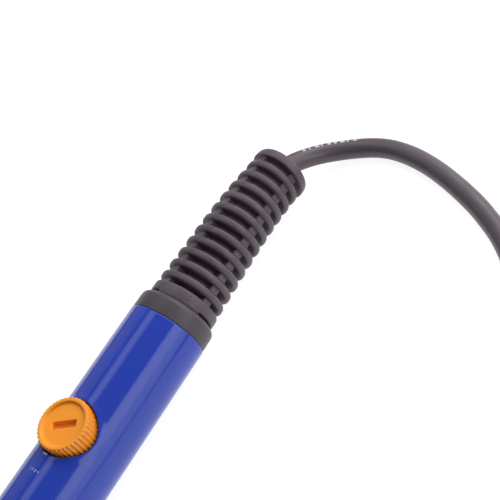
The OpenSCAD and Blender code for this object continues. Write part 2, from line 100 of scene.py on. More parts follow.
def noise(nt, scale, detail=4.0, rough=0.55, stretch=(1, 1, 1), distortion=0.0):
    tc = nt.nodes.new("ShaderNodeTexCoord")
    mp = nt.nodes.new("ShaderNodeMapping")
    mp.inputs["Scale"].default_value = stretch
    n = nt.nodes.new("ShaderNodeTexNoise")
    n.inputs["Scale"].default_value = scale
    n.inputs["Detail"].default_value = detail
    n.inputs["Roughness"].default_value = rough
    n.inputs["Distortion"].default_value = distortion
    nt.links.new(tc.outputs["Object"], mp.inputs[0])
    nt.links.new(mp.outputs[0], n.inputs[0])
    return n.outputs[0]


def remap(nt, value, lo, hi, a=0.0, b=1.0):
    r = nt.nodes.new("ShaderNodeMapRange")
    r.inputs["From Min"].default_value = lo
    r.inputs["From Max"].default_value = hi
    r.inputs["To Min"].default_value = a
    r.inputs["To Max"].default_value = b
    nt.links.new(value, r.inputs["Value"])
    return r.outputs[0]


def blend(nt, factor, a, b, mode="MIX"):
    m = nt.nodes.new("ShaderNodeMix")
    m.data_type = "RGBA"
    m.blend_type = mode
    if hasattr(factor, "is_linked"):
        nt.links.new(factor, m.inputs[0])
    else:
        m.inputs[0].default_value = factor
    for socket, v in ((m.inputs[6], a), (m.inputs[7], b)):
        if hasattr(v, "is_linked"):
            nt.links.new(v, socket)
        else:
            socket.default_value = (*v, 1.0)
    return m.outputs[2]


def math_node(nt, op, a, b=None):
    m = nt.nodes.new("ShaderNodeMath")
    m.operation = op
    for i, v in enumerate((a, b)):
        if v is None:
            continue
        if hasattr(v, "is_linked"):
            nt.links.new(v, m.inputs[i])
        else:
            m.inputs[i].default_value = v
    return m.outputs[0]


def bump(nt, bsdf, height, strength, distance, previous=None):
    b = nt.nodes.new("ShaderNodeBump")
    b.inputs["Strength"].default_value = strength
    b.inputs["Distance"].default_value = distance
    nt.links.new(height, b.inputs["Height"])
    if previous is not None:
        nt.links.new(previous, b.inputs["Normal"])
    nt.links.new(b.outputs[0], bsdf.inputs["Normal"])
    return b.outputs[0]


def surface(name, color, rough, spread=0.06, metallic=0.0, tone=0.10, grain=900.0, grain_depth=0.00002,
            wave=60.0, wave_depth=0.0, stretch=(1, 1, 1), ior=1.5, coat=0.0, dust=0.0, sheen=0.0,
            worn=None, specular=0.5):
    """A moulded, drawn or turned surface: colour drift, uneven gloss, a fine grain and a broad waviness."""
    m, nt, bsdf = new_material(name)
    drift = remap(nt, noise(nt, 55.0, 3.0), 0.3, 0.7)
    dark = tuple(c * (1 - tone) for c in color)
    light = tuple(min(1.0, c * (1 + tone)) for c in color)
    base = blend(nt, drift, dark, light)
    speck = remap(nt, noise(nt, grain * 0.6, 2.0, 0.5, stretch), 0.62, 0.78)
    if worn is not None:
        base = blend(nt, math_node(nt, "MULTIPLY", speck, 0.35), base, worn)
    if dust > 0.0:
        dusty = remap(nt, noise(nt, 130.0, 8.0, 0.7), 0.55, 0.9, 0.0, dust)
        base = blend(nt, dusty, base, (0.45, 0.42, 0.44))
    nt.links.new(base, bsdf.inputs["Base Color"])
    gloss = noise(nt, 140.0, 5.0, 0.6, stretch)
    nt.links.new(remap(nt, gloss, 0.3, 0.7, max(0.02, rough - spread), min(1.0, rough + spread)),
                 bsdf.inputs["Roughness"])
    bsdf.inputs["Metallic"].default_value = metallic
    bsdf.inputs["IOR"].default_value = ior
    bsdf.inputs["Specular IOR Level"].default_value = specular
    bsdf.inputs["Coat Weight"].default_value = coat
    bsdf.inputs["Coat Roughness"].default_value = 0.12
    bsdf.inputs["Sheen Weight"].default_value = sheen
    previous = bump(nt, bsdf, noise(nt, grain, 3.0, 0.6, stretch), 0.6, grain_depth)
    if wave_depth > 0.0:
        bump(nt, bsdf, noise(nt, wave, 2.0, 0.4, stretch), 0.8, wave_depth, previous)
    return m


MAT = {}


def handle_blue():
    m, nt, bsdf = new_material("blue_plastic")
    drift = remap(nt, noise(nt, 30.0, 3.0, 0.5, (0.35, 1, 1)), 0.3, 0.7)
    base = blend(nt, drift, (0.014, 0.040, 0.345), (0.017, 0.045, 0.375))
    # faint hairline scuffs along the handle, as on a tube that has been wiped
    scuff = remap(nt, noise(nt, 420.0, 6.0, 0.65, (0.05, 1, 1)), 0.63, 0.8)
    base = blend(nt, math_node(nt, "MULTIPLY", scuff, 0.12), base, (0.10, 0.13, 0.45))
    nt.links.new(base, bsdf.inputs["Base Color"])
    gloss = noise(nt, 160.0, 5.0, 0.6, (0.3, 1, 1))
    nt.links.new(remap(nt, gloss, 0.3, 0.75, 0.12, 0.19), bsdf.inputs["Roughness"])
    bsdf.inputs["IOR"].default_value = 1.5
    previous = bump(nt, bsdf, noise(nt, 2600.0, 2.0, 0.5), 0.25, 0.000004)
    bump(nt, bsdf, noise(nt, 70.0, 2.0, 0.4, (0.25, 1, 1)), 0.5, 0.00003, previous)
    return m


MAT["blue_plastic"] = handle_blue()
MAT["orange_plastic"] = surface("orange_plastic", (0.84, 0.285, 0.014), 0.34, 0.06, tone=0.05, grain=1500.0,
                                grain_depth=0.000012, wave=160.0, wave_depth=0.00003, specular=0.45)
MAT["black_nylon"] = surface("black_nylon", (0.046, 0.0365, 0.047), 0.46, 0.07, tone=0.12, grain=1700.0,
                             grain_depth=0.00003, wave=200.0, wave_depth=0.00003, dust=0.05)
MAT["black_boot"] = surface("black_boot", (0.068, 0.047, 0.066), 0.48, 0.08, tone=0.14, grain=1500.0,
                            grain_depth=0.00004, wave=260.0, wave_depth=0.00007, dust=0.07)
MAT["grip_rubber"] = surface("grip_rubber", (0.036, 0.034, 0.038), 0.62, 0.06, tone=0.12, grain=2200.0,
                             grain_depth=0.00005, dust=0.08, sheen=0.05)
MAT["grey_plastic"] = surface("grey_plastic", (0.06, 0.06, 0.065), 0.5)
MAT["cord_black"] = surface("cord_black", (0.074, 0.056, 0.073), 0.36, 0.07, tone=0.12, grain=1400.0,
                            grain_depth=0.00003, wave=220.0, wave_depth=0.00005, dust=0.05)
MAT["core_black"] = surface("core_black", (0.012, 0.012, 0.013), 0.4)
MAT["core_white"] = surface("core_white", (0.75, 0.74, 0.70), 0.4)
MAT["core_green"] = surface("core_green", (0.05, 0.30, 0.08), 0.4)
MAT["black_plug"] = surface("black_plug", (0.034, 0.030, 0.034), 0.5, 0.06, tone=0.12, grain=1600.0,
                            grain_depth=0.00005, dust=0.06)
MAT["tie_wire"] = surface("tie_wire", (0.045, 0.045, 0.05), 0.35, grain=1200.0)
MAT["blade_brass"] = surface("blade_brass", (0.72, 0.53, 0.26), 0.28, 0.06, 1.0, 0.08, 800.0, 0.000003,
                             stretch=(0.15, 1, 1), worn=(0.5, 0.34, 0.16))
MAT["nickel"] = surface("nickel", (0.72, 0.71, 0.68), 0.22, 0.05, 1.0, 0.05, 700.0, 0.000003)
MAT["screw_steel"] = surface("screw_steel", (0.60, 0.60, 0.60), 0.3, 0.06, 1.0, 0.08, 900.0, 0.000004)
MAT["nut_steel"] = surface("nut_steel", (0.60, 0.60, 0.59), 0.27, 0.05, 1.0, 0.06, 900.0, 0.000003,
                           stretch=(3, 1, 1))
MAT["white_ceramic"] = surface("white_ceramic", (0.86, 0.84, 0.80), 0.35)
MAT["cream_ceramic"] = surface("cream_ceramic", (0.74, 0.68, 0.56), 0.7, grain_depth=0.00005)
MAT["glass_sleeve"] = surface("glass_sleeve", (0.80, 0.77, 0.68), 0.8, grain=2500.0, grain_depth=0.0001)
MAT["board"] = surface("board", (0.035, 0.20, 0.09), 0.35, grain_depth=0.00003)
MAT["pot_case"] = surface("pot_case", (0.05, 0.12, 0.28), 0.35)
MAT["black_epoxy"] = surface("black_epoxy", (0.02, 0.02, 0.022), 0.5)
MAT["red_film"] = surface("red_film", (0.42, 0.04, 0.03), 0.25, wave_depth=0.0001)
MAT["capacitor_sleeve"] = surface("capacitor_sleeve", (0.02, 0.022, 0.03), 0.3)
MAT["tan_resistor"] = surface("tan_resistor", (0.58, 0.45, 0.24), 0.4)


def heated_steel():
    """Drawn stainless tube: fine lines round it, straw and blue tints towards the tip."""
    m, nt, bsdf = new_material("barrel_steel")
    tc = nt.nodes.new("ShaderNodeTexCoord")
    sep = nt.nodes.new("ShaderNodeSeparateXYZ")
    nt.links.new(tc.outputs["Object"], sep.inputs[0])
    wobble = math_node(nt, "MULTIPLY", noise(nt, 90.0, 4.0), 0.006)
    along = remap(nt, math_node(nt, "ADD", sep.outputs[0], wobble), 0.078, 0.106)
    ramp = nt.nodes.new("ShaderNodeValToRGB")
    nt.links.new(along, ramp.inputs[0])
    e = ramp.color_ramp.elements
    e[0].position, e[0].color = 0.0, (0.56, 0.55, 0.53, 1)
    e[1].position, e[1].color = 1.0, (0.24, 0.25, 0.32, 1)
    for p, c in ((0.35, (0.58, 0.52, 0.40, 1)), (0.62, (0.50, 0.36, 0.20, 1)), (0.82, (0.30, 0.22, 0.26, 1))):
        x = e.new(p)
        x.color = c
    nt.links.new(ramp.outputs[0], bsdf.inputs["Base Color"])
    streaks = noise(nt, 300.0, 5.0, 0.6, (5, 1, 1))
    nt.links.new(remap(nt, streaks, 0.3, 0.7, 0.2, 0.36), bsdf.inputs["Roughness"])
    bsdf.inputs["Metallic"].default_value = 1.0
    bump(nt, bsdf, noise(nt, 900.0, 2.0, 0.5, (6, 1, 1)), 0.5, 0.000004)
    return m


def tip_plate():
    """Iron plate on the shank, bright solder on the chisel, dark flux at the border."""
    m, nt, bsdf = new_material("iron_plate")
    tc = nt.nodes.new("ShaderNodeTexCoord")
    sep = nt.nodes.new("ShaderNodeSeparateXYZ")
    nt.links.new(tc.outputs["Object"], sep.inputs[0])
    wobble = math_node(nt, "MULTIPLY", noise(nt, 260.0, 4.0), 0.003)
    along = remap(nt, math_node(nt, "ADD", sep.outputs[0], wobble), 0.100, 0.117)
    ramp = nt.nodes.new("ShaderNodeValToRGB")
    nt.links.new(along, ramp.inputs[0])
    e = ramp.color_ramp.elements
    e[0].position, e[0].color = 0.0, (0.30, 0.28, 0.27, 1)
    e[1].position, e[1].color = 1.0, (0.80, 0.80, 0.79, 1)
    for p, c in ((0.42, (0.16, 0.12, 0.10, 1)), (0.50, (0.10, 0.07, 0.05, 1)), (0.58, (0.72, 0.72, 0.71, 1))):
        x = e.new(p)
        x.color = c
    nt.links.new(ramp.outputs[0], bsdf.inputs["Base Color"])
    nt.links.new(remap(nt, noise(nt, 300.0, 5.0), 0.3, 0.7, 0.22, 0.42), bsdf.inputs["Roughness"])
    bsdf.inputs["Metallic"].default_value = 0.9
    bump(nt, bsdf, noise(nt, 420.0, 2.0), 0.5, 0.00002)
    return m


MAT["barrel_steel"] = heated_steel()
MAT["iron_plate"] = tip_plate()
MAT["print_white"] = surface("print_white", (0.40, 0.41, 0.72), 0.4, tone=0.04)
MAT["cord_print"] = surface("cord_print", (0.42, 0.40, 0.43), 0.5, tone=0.08)


# ---------------------------------------------------------------- mesh helpers, all in millimetres

def piece(name, verts, faces, material, body, smooth_angle=40.0, normals=None, replaces=()):
    me = bpy.data.meshes.new(name)
    points = [tuple(float(c) * MM for c in v) for v in verts]
    me.from_pydata(points, [], [tuple(int(i) for i in f) for f in faces])
    me.validate()
    me.update()
    me.shade_smooth()
    if smooth_angle is not None:
        me.set_sharp_from_angle(angle=math.radians(smooth_angle))
    if normals is not None:
        me.normals_split_custom_set_from_vertices([tuple(n) for n in normals])
    me.materials.append(MAT[material])
    o = bpy.data.objects.new(name, me)
    scene.collection.objects.link(o)
    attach(o, body)
    if replaces:
        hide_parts(*replaces)
    return o


def fillet(points, closed=False, steps=5):
    """Rounds the corners of a path of [a, b, radius] points."""
    out = []
    n = len(points)
    for i, (a, b, r) in enumerate(points):
        p = np.array([a, b], float)
        if r <= 0 or (not closed and i in (0, n - 1)):
            out.append(p)
            continue
        q0 = np.array(points[i - 1][:2], float)
        q1 = np.array(points[(i + 1) % n][:2], float)
        d0, d1 = q0 - p, q1 - p
        l0, l1 = np.linalg.norm(d0), np.linalg.norm(d1)
        d0, d1 = d0 / l0, d1 / l1
        half = math.acos(max(-1, min(1, float(d0 @ d1)))) / 2
        cut = min(r / math.tan(half), 0.49 * l0, 0.49 * l1)
        rr = cut * math.tan(half)
        centre = p + (d0 + d1) / np.linalg.norm(d0 + d1) * rr / math.sin(half)
        s, e = p + d0 * cut - centre, p + d1 * cut - centre
        sweep = math.pi - 2 * half
        turn = math.copysign(1, s[0] * e[1] - s[1] * e[0])
        for k in range(steps + 1):
            t = turn * sweep * k / steps
            out.append(centre + np.array([s[0] * math.cos(t) - s[1] * math.sin(t),
                                          s[0] * math.sin(t) + s[1] * math.cos(t)]))
    return out


def lathe(rows, angles, closed_profile=True):
    """Grid of rows x angles, wrapped round; rows[i](angles) gives points. Returns verts, faces."""
    n, m = len(rows), len(angles)
    verts = np.array(rows, float).reshape(n * m, 3)
    faces = []
    for i in range(n if closed_profile else n - 1):
        j = (i + 1) % n
        for k in range(m):
            l = (k + 1) % m
            faces.append((i * m + k, i * m + l, j * m + l, j * m + k))
    return verts, faces


def revolve_x(profile, segs=96, closed=True, cy=0.0, cz=AXIS_Z):
    """Revolves [x, r] points about the line parallel to X through (cy, cz)."""
    a = np.linspace(0, 2 * np.pi, segs, endpoint=False)
    rows = [np.column_stack([np.full(segs, x), cy + r * np.sin(a), cz + r * np.cos(a)]) for x, r in profile]
    return lathe(rows, a, closed)


def sweep_tube(path, radius, sides=20, scale=None):
    """A round tube along path with parallel-transported rings and closed ends."""
    p = np.array(path, float)
    t = np.gradient(p, axis=0)
    t /= np.linalg.norm(t, axis=1)[:, None]
    up = np.array([0.0, 0.0, 1.0])
    u = np.cross(t[0], up)
    u /= np.linalg.norm(u)
    verts = []
    for i in range(len(p)):
        u = u - t[i] * (u @ t[i])
        u /= np.linalg.norm(u)
        v = np.cross(t[i], u)
        r = radius if scale is None else radius * scale[i]
        for k in range(sides):
            a = 2 * math.pi * k / sides
            verts.append(p[i] + r * (math.cos(a) * u + math.sin(a) * v))
    faces = []
    for i in range(len(p) - 1):
        for k in range(sides):
            l = (k + 1) % sides
            faces.append((i * sides + k, i * sides + l, (i + 1) * sides + l, (i + 1) * sides + k))
    last = (len(p) - 1) * sides
    faces.append(tuple(range(sides - 1, -1, -1)))
    faces.append(tuple(last + k for k in range(sides)))
    return verts, faces


def join(parts):
    verts, faces, base = [], [], 0
    for v, f in parts:
        verts.extend(list(v))
        faces.extend([tuple(i + base for i in q) for q in f])
        base += len(v)
    return verts, faces


def smooth_path(points, steps=4):
    """Centripetal Catmull-Rom through the points."""
    p = [np.array(q, float) for q in points]
    p = [2 * p[0] - p[1]] + p + [2 * p[-1] - p[-2]]
    out = []
    for i in range(1, len(p) - 2):
        p0, p1, p2, p3 = p[i - 1:i + 3]
        t0 = 0.0
        t1 = t0 + np.linalg.norm(p1 - p0) ** 0.5
        t2 = t1 + np.linalg.norm(p2 - p1) ** 0.5
        t3 = t2 + np.linalg.norm(p3 - p2) ** 0.5
        for k in range(steps):
            t = t1 + (t2 - t1) * k / steps
            a1 = (t1 - t) / (t1 - t0) * p0 + (t - t0) / (t1 - t0) * p1
            a2 = (t2 - t) / (t2 - t1) * p1 + (t - t1) / (t2 - t1) * p2
            a3 = (t3 - t) / (t3 - t2) * p2 + (t - t2) / (t3 - t2) * p3
            b1 = (t2 - t) / (t2 - t0) * a1 + (t - t0) / (t2 - t0) * a2
            b2 = (t3 - t) / (t3 - t1) * a2 + (t - t1) / (t3 - t1) * a3
            out.append((t2 - t) / (t2 - t1) * b1 + (t - t1) / (t2 - t1) * b2)
    out.append(p[-2])
    return out


# ---------------------------------------------------------------- the cord, on the CAD's route

LEAD = [[-113, 0.8, 9.6], [-117.2, 1.6, 8.5], [-121.2, 3.2, 6.8], [-125, 5.7, 5.1],
        [-128.2, 9.1, 3.8], [-130.8, 13.3, 3.1], [-132.7, 17.8, 2.8], [-133.6, 22.7, 2.8],
        [-133.5, 27.7, 2.8], [-132.7, 32.6, 2.8], [-131.4, 37.4, 2.8], [-129.7, 42.1, 2.8],
        [-127.7, 46.7, 2.8], [-125.5, 51.2, 2.8], [-123.1, 55.6, 2.8], [-120.4, 59.8, 2.8],
        [-117.5, 63.9, 2.8], [-114.2, 67.7, 2.8], [-110.4, 71.4, 2.8], [-106, 75.2, 2.8],
        [-101.2, 79.1, 2.8], [-96.3, 83.1, 2.8], [-91.3, 87.3, 2.8], [-86.4, 91.8, 2.8]]
TAIL = [[-79.4, 100.4, 8.4], [-76, 105.5, 7.9], [-71.7, 109.7, 6.7], [-66.3, 112.9, 5.2],
        [-60.3, 114.9, 3.9], [-54, 115.6, 3.1], [-47.5, 115.8, 2.8], [-41, 115.8, 2.8],
        [-35, 115.8, 3.2], [-29, 115.8, 4.6], [-23, 115.8, 6.8], [-17, 115.8, 9.1],
        [-11, 115.8, 10.6], [-4, 115.8, 11]]
COIL_CENTRE = (-110.0, 118.0)
COIL_R = (35.3, 29.65, 24.0)
PITCH = 5.65
LOW, HIGH = 2.8, 8.4


def ease(t):
    t = min(1.0, max(0.0, t))
    return t * t * (3 - 2 * t)


def coil_point(a):
    """Radius and height of the coil at the running angle a, in degrees from where the lead joins it."""
    r, z = COIL_R[0], LOW
    r -= PITCH * (ease((a - 260) / 50) + ease((a - 620) / 50))
    z += (HIGH - LOW) * ease((a - 985) / 110)
    r -= 5.6 * math.sin(math.pi * min(1.0, max(0.0, (a - 975) / 130))) ** 1.0
    r += PITCH * (ease((a - 1410) / 50) + ease((a - 1770) / 50))
    return r, z


coil = []
for step in range(1, 290):
    a = -48 + step * 7.5
    if a >= 2126:
        break
    r, z = coil_point(a)
    coil.append([COIL_CENTRE[0] + r * math.cos(math.radians(a)),
                 COIL_CENTRE[1] + r * math.sin(math.radians(a)), z])

cord_path = (smooth_path(LEAD, 4)[:-1] + smooth_path([LEAD[-1]] + coil + [TAIL[0]], 1)[:-1]
             + smooth_path(TAIL, 4))
v, f = sweep_tube(cord_path, CORD_R, 24)
mains_cord = piece("mains_cord", v, f, "cord_black", "handle", 60.0,
                   replaces=("cord_lead", "cord_coil", "cord_tail"))


# ---------------------------------------------------------------- handle tube with the dial's opening

def handle_tube():
    side, blend_rings = 28, 7
    half_x, half_a = 11.5, math.radians(66)
    t = np.linspace(-1, 1, side + 1)
    square = ([(1, v) for v in t[:-1]] + [(-v, 1) for v in t[:-1]]
              + [(-1, -v) for v in t[:-1]] + [(v, -1) for v in t[:-1]])
    phi = np.array([math.atan2(b, a) for a, b in square])
    corner_x = np.array([DIAL_X + half_x * a for a, b in square])
    corner_a = np.array([half_a * b for a, b in square])
    m = len(square)
    verts, normals, faces = [], [], []

    def add(rows, exact):
        start = len(verts)
        for row in rows:
            verts.extend(row.tolist())
            for q in row:
                n = np.array([0.0, q[1], q[2] - AXIS_Z])
                normals.append(tuple(n / np.linalg.norm(n)) if exact else (0.0, 0.0, 0.0))
        return start

    def on_tube(x, a, r):
        return np.column_stack([x, r * np.sin(a), AXIS_Z + r * np.cos(a)])

    def around(rho, r):
        y = rho * np.sin(phi)
        return np.column_stack([DIAL_X + rho * np.cos(phi), y, AXIS_Z + np.sqrt(r * r - y * y)])

    def bands(start, count, width, flip, wrap=True):
        for i in range(count - 1):
            for k in range(width if wrap else width - 1):
                l = (k + 1) % width
                q = (start + i * width + k, start + i * width + l,
                     start + (i + 1) * width + l, start + (i + 1) * width + k)
                faces.append(q[::-1] if flip else q)

    # outer opening: wall, rounded lip a little proud of the crown, then out to the square patch
    lip = 0.45
    rows = []
    for k in range(7):
        a = math.pi / 2 * k / 6
        rows.append(around(WELL_R + lip * (1 - math.cos(a)), TUBE_R + 0.10 - lip * (1 - math.sin(a))))
    for rho, rise in ((8.2, 0.10), (8.6, 0.065), (9.0, 0.02)):
        rows.append(around(rho, TUBE_R + rise))
    outer_open = add(rows, False)
    ring = around(9.4, TUBE_R)
    ring_a = np.arcsin(ring[:, 1] / TUBE_R)
    rows = [on_tube(ring[:, 0] + (corner_x - ring[:, 0]) * s, ring_a + (corner_a - ring_a) * s, TUBE_R)
            for s in np.linspace(0, 1, blend_rings + 1)]
    add(rows, True)
    bands(outer_open, 10 + len(rows), m, False)

    # inner opening
    rows = [around(WELL_R, BORE_R)]
    ring = rows[0]
    ring_a = np.arcsin(ring[:, 1] / BORE_R)
    rows += [on_tube(ring[:, 0] + (corner_x - ring[:, 0]) * s, ring_a + (corner_a - ring_a) * s, BORE_R)
             for s in np.linspace(0, 1, 5)[1:]]
    inner_open = add(rows, False)
    bands(inner_open, len(rows), m, True)
    for k in range(m):
        l = (k + 1) % m
        faces.append((outer_open + l, outer_open + k, inner_open + k, inner_open + l))

    # the rest of both skins: one grid each, with the patch left out
    band_a = list(half_a * t)
    other_a = list(np.linspace(half_a, 2 * math.pi - half_a, 49)[1:-1])
    cols = band_a + other_a
    n = len(cols)
    patch_x = list(DIAL_X + half_x * t)

    def skin(stations, flip, exact_r):
        start = len(verts)
        for x, r in stations:
            row = on_tube(np.full(n, x), np.array(cols), r)
            verts.extend(row.tolist())
            for q in row:
                d = np.array([0.0, q[1], q[2] - AXIS_Z])
                ok = exact_r is not None and abs(r - exact_r) < 1e-6
                normals.append(tuple(d / np.linalg.norm(d)) if ok else (0.0, 0.0, 0.0))
        for i in range(len(stations) - 1):
            inside = patch_x[0] - 1e-6 <= stations[i][0] and stations[i + 1][0] <= patch_x[-1] + 1e-6
            for k in range(n):
                l = (k + 1) % n
                if inside and k < side:
                    continue
                q = (start + i * n + k, start + i * n + l, start + (i + 1) * n + l, start + (i + 1) * n + k)
                faces.append(q[::-1] if flip else q)
        return start

    edge = [(RIM_X, TUBE_R - 0.40), (RIM_X + 0.02, TUBE_R - 0.27), (RIM_X + 0.10, TUBE_R - 0.13),
            (RIM_X + 0.22, TUBE_R - 0.035), (RIM_X + 0.38, TUBE_R)]
    outer = (edge + [(x, TUBE_R) for x in np.linspace(RIM_X + 1.4, patch_x[0], 9)[:-1]]
             + [(x, TUBE_R) for x in patch_x]
             + [(x, TUBE_R) for x in np.linspace(patch_x[-1], GRIP_X - 0.3, 8)[1:]]
             + [(GRIP_X - 0.1, TUBE_R - 0.08), (GRIP_X, TUBE_R - 0.3), (GRIP_X, NECK_R)]
             + [(x, NECK_R) for x in np.linspace(GRIP_X, TUBE_FRONT_X, 9)[1:]])
    inner = ([(RIM_X, BORE_R)] + [(x, BORE_R) for x in np.linspace(RIM_X, patch_x[0], 5)[1:-1]]
             + [(x, BORE_R) for x in patch_x] + [(2.0, BORE_R), (2.0, 7.7), (TUBE_FRONT_X, 7.7)])
    a0 = skin(outer, True, TUBE_R)
    b0 = skin(inner, False, None)
    a1, b1 = a0 + (len(outer) - 1) * n, b0 + (len(inner) - 1) * n
    for k in range(n):
        l = (k + 1) % n
        faces.append((a0 + k, a0 + l, b0 + l, b0 + k))
        faces.append((a1 + l, a1 + k, b1 + k, b1 + l))

    # weld the shared borders
    v = np.array(verts)
    keys, first, remap_i = {}, [], []
    for i, q in enumerate(np.round(v, 4)):
        k = tuple(q)
        if k not in keys:
            keys[k] = len(first)
            first.append(i)
        remap_i.append(keys[k])
    v = v[first]
    nrm = np.array(normals)[first]
    faces2 = []
    for q in faces:
        w = []
        for i in q:
            j = remap_i[i]
            if j not in w:
                w.append(j)
        if len(w) > 2:
            faces2.append(tuple(w))
    o = piece("handle_tube_shell", v, faces2, "blue_plastic", "handle", 50.0, replaces=("handle_tube",))
    me = o.data
    bm_fix_normals(me)
    if len(me.vertices) == len(nrm):
        custom = []
        for vert in me.vertices:
            n0 = nrm[vert.index]
            custom.append(tuple(n0) if np.linalg.norm(n0) > 0.5 else tuple(vert.normal))
        me.normals_split_custom_set_from_vertices(custom)
    return o


def bm_fix_normals(me):
    bm = bmesh.new()
    bm.from_mesh(me)
    bmesh.ops.recalc_face_normals(bm, faces=bm.faces)
    bm.to_mesh(me)
    bm.free()
    me.update()


handle_tube()


# ---------------------------------------------------------------- dial

def dial():
    teeth, per = 40, 8
    segs = teeth * per
    a = np.linspace(0, 2 * np.pi, segs, endpoint=False)
    # sharp ridges with round valleys between them
    valley = np.abs(np.sin(teeth * a / 2)) ** 0.85

    def ring(r, z, depth):
        rr = r - depth * valley
        return np.column_stack([DIAL_X + rr * np.cos(a), rr * np.sin(a), np.full(segs, z)])

    top = DIAL_TOP
    rows = [ring(3.02, DIAL_BASE, 0), ring(6.6, DIAL_BASE, 0), ring(6.95, DIAL_BASE + 0.1, 0.2),
            ring(7.12, DIAL_BASE + 0.35, 0.30)]
    rows += [ring(DIAL_R, z, 0.42) for z in (DIAL_BASE + 0.9, 17.5, 19.5, 21.0, 22.0, 22.8, 23.5)]
    rows += [ring(7.19, 23.68, 0.40), ring(7.14, 23.83, 0.36), ring(7.04, 23.94, 0.27),
             ring(6.90, 23.99, 0.14),
             ring(6.7, top, 0.0), ring(6.35, top, 0.0), ring(6.15, 23.985, 0), ring(6.0, 23.93, 0),
             ring(5.9, 23.82, 0), ring(5.84, 23.66, 0), ring(5.79, 23.48, 0), ring(5.70, 23.36, 0),
             ring(5.56, 23.305, 0), ring(5.4, 23.3, 0)]
    # from the face's circle in to the slot's rounded mouth
    ang = math.radians(121)
    half_l, half_w = 3.35, 0.95

    def slot_outline(grow):
        hl, hw = half_l + grow, half_w + grow
        out = []
        for t in a - ang:
            c, s = math.cos(t), math.sin(t)
            # a superellipse-like rectangle, star shaped about the middle
            k = 14.0
            rho = (abs(c / hl) ** k + abs(s / hw) ** k) ** (-1 / k)
            out.append(rho)
        rho = np.array(out)
        return np.column_stack([rho * np.cos(a), rho * np.sin(a)])

    mouth = slot_outline(0.16)
    circle = np.column_stack([5.4 * np.cos(a), 5.4 * np.sin(a)])
    for s in (0.2, 0.42, 0.62, 0.8, 0.92, 1.0):
        q = circle + (mouth - circle) * s
        rows.append(np.column_stack([DIAL_X + q[:, 0], q[:, 1], np.full(segs, 23.3)]))
    for grow, z in ((0.07, 23.27), (0.02, 23.2), (0.0, 23.1), (-0.02, 22.0), (-0.05, 21.86), (-0.14, 21.8)):
        q = slot_outline(grow)
        rows.append(np.column_stack([DIAL_X + q[:, 0], q[:, 1], np.full(segs, z)]))
    for s in (0.5, 0.1):
        q = slot_outline(-0.14) * np.array([s, s])
        rows.append(np.column_stack([DIAL_X + q[:, 0], q[:, 1], np.full(segs, 21.8)]))
    v, f = lathe(rows, a, False)
    n = len(rows)
    f.append(tuple((n - 1) * segs + k for k in range(segs)))
    # socket for the shaft, closed at its end
    base = len(v)
    bore = [ring(3.02, 20.5, 0)]
    v = np.vstack([v, *bore])
    for k in range(segs):
        l = (k + 1) % segs
        f.append((k, base + k, base + l, l))
    f.append(tuple(base + k for k in range(segs)))
    o = piece("dial_knob_knurled", v, f, "orange_plastic", "dial", 62.0, replaces=("dial_knob",))
    bm_fix_normals(o.data)
    return o


dial()


# ---------------------------------------------------------------- printed scale beside the dial

def printed_scale():
    parts = []

    def patch(points, lift=0.02):
        """A thin printed shape: outline points [x, arc length] laid on the tube."""
        pts = np.array(points)
        n = len(pts)
        v = []
        for r in (TUBE_R - 0.15, TUBE_R + lift):
            for x, s in pts:
                t = s / TUBE_R
                v.append([x, r * math.sin(t), AXIS_Z + r * math.cos(t)])
        f = [tuple(range(n - 1, -1, -1)), tuple(range(n, 2 * n))]
        f += [(k, (k + 1) % n, n + (k + 1) % n, n + k) for k in range(n)]
        return v, f

    def bar(cx, cs, angle, length, width, lift=0.02):
        d = np.array([math.cos(angle), math.sin(angle)])
        w = np.array([-d[1], d[0]])
        out = []
        for sx, a0 in ((1, -90), (-1, 90)):
            for k in range(5):
                t = math.radians(a0 + 45 * k)
                out.append(np.array([cx, cs]) + sx * d * (length - width) / 2
                           + width / 2 * (math.cos(t) * d + math.sin(t) * w))
        return patch(out, lift)

    digits = {"1": ["b", "c"], "2": ["a", "b", "g", "e", "d"], "3": ["a", "b", "g", "c", "d"],
              "4": ["f", "g", "b", "c"], "5": ["a", "f", "g", "c", "d"]}
    segments = {"a": (0, 1, 1), "b": (0.5, 0.5, 0), "c": (0.5, -0.5, 0), "d": (0, -1, 1),
                "e": (-0.5, -0.5, 0), "f": (-0.5, 0.5, 0), "g": (0, 0, 1)}

    def digit(name, cx, cs, size):
        for s in digits[name]:
            px, py, flat = segments[s]
            # the digit's up points to the dial, its right to +Y
            parts.append(bar(cx - py * size * 0.5, cs + px * size * 0.55, math.pi / 2 if flat else 0.0,
                             size * 0.55 + 0.09, 0.11))

    parts.append(bar(-14.55, -0.7, math.pi / 2, 1.5, 0.45, 0.12))
    for name, s in (("1", -2.2), ("2", -1.25), ("3", -0.3), ("4", 0.65)):
        digit(name, -10.0, s, 0.5)
    v, f = join(parts)
    piece("printed_scale", v, f, "print_white", "handle", 30.0)


printed_scale()


# ---------------------------------------------------------------- rear cap

profile = fillet([(-54.6, 9.16, 0.2), (-58.0, 9.16, 0), (-58.0, 10.86, 0.22), (-63.7, 10.80, 1.7),
                  (-63.7, 7.42, 0.15), (-54.6, 7.42, 0.2)], True, 6)
v, f = revolve_x(profile, 128)
o = piece("rear_cap_moulded", v, f, "black_nylon", "handle", 45.0, replaces=("rear_cap",))
bm_fix_normals(o.data)


# ---------------------------------------------------------------- strain relief

BEND_X, BEND_SIDE, BEND_DROP = -88.0, 0.00123, 0.00233


def bend_frame(x):
    u = max(0.0, BEND_X - x)
    c = np.array([x, BEND_SIDE * u * u, AXIS_Z - BEND_DROP * u * u])
    ry = -math.atan(2 * BEND_DROP * u)
    rz = math.atan(-2 * BEND_SIDE * u)
    m = Matrix.Rotation(rz, 3, "Z") @ Matrix.Rotation(ry, 3, "Y")
    return c, np.array(m)


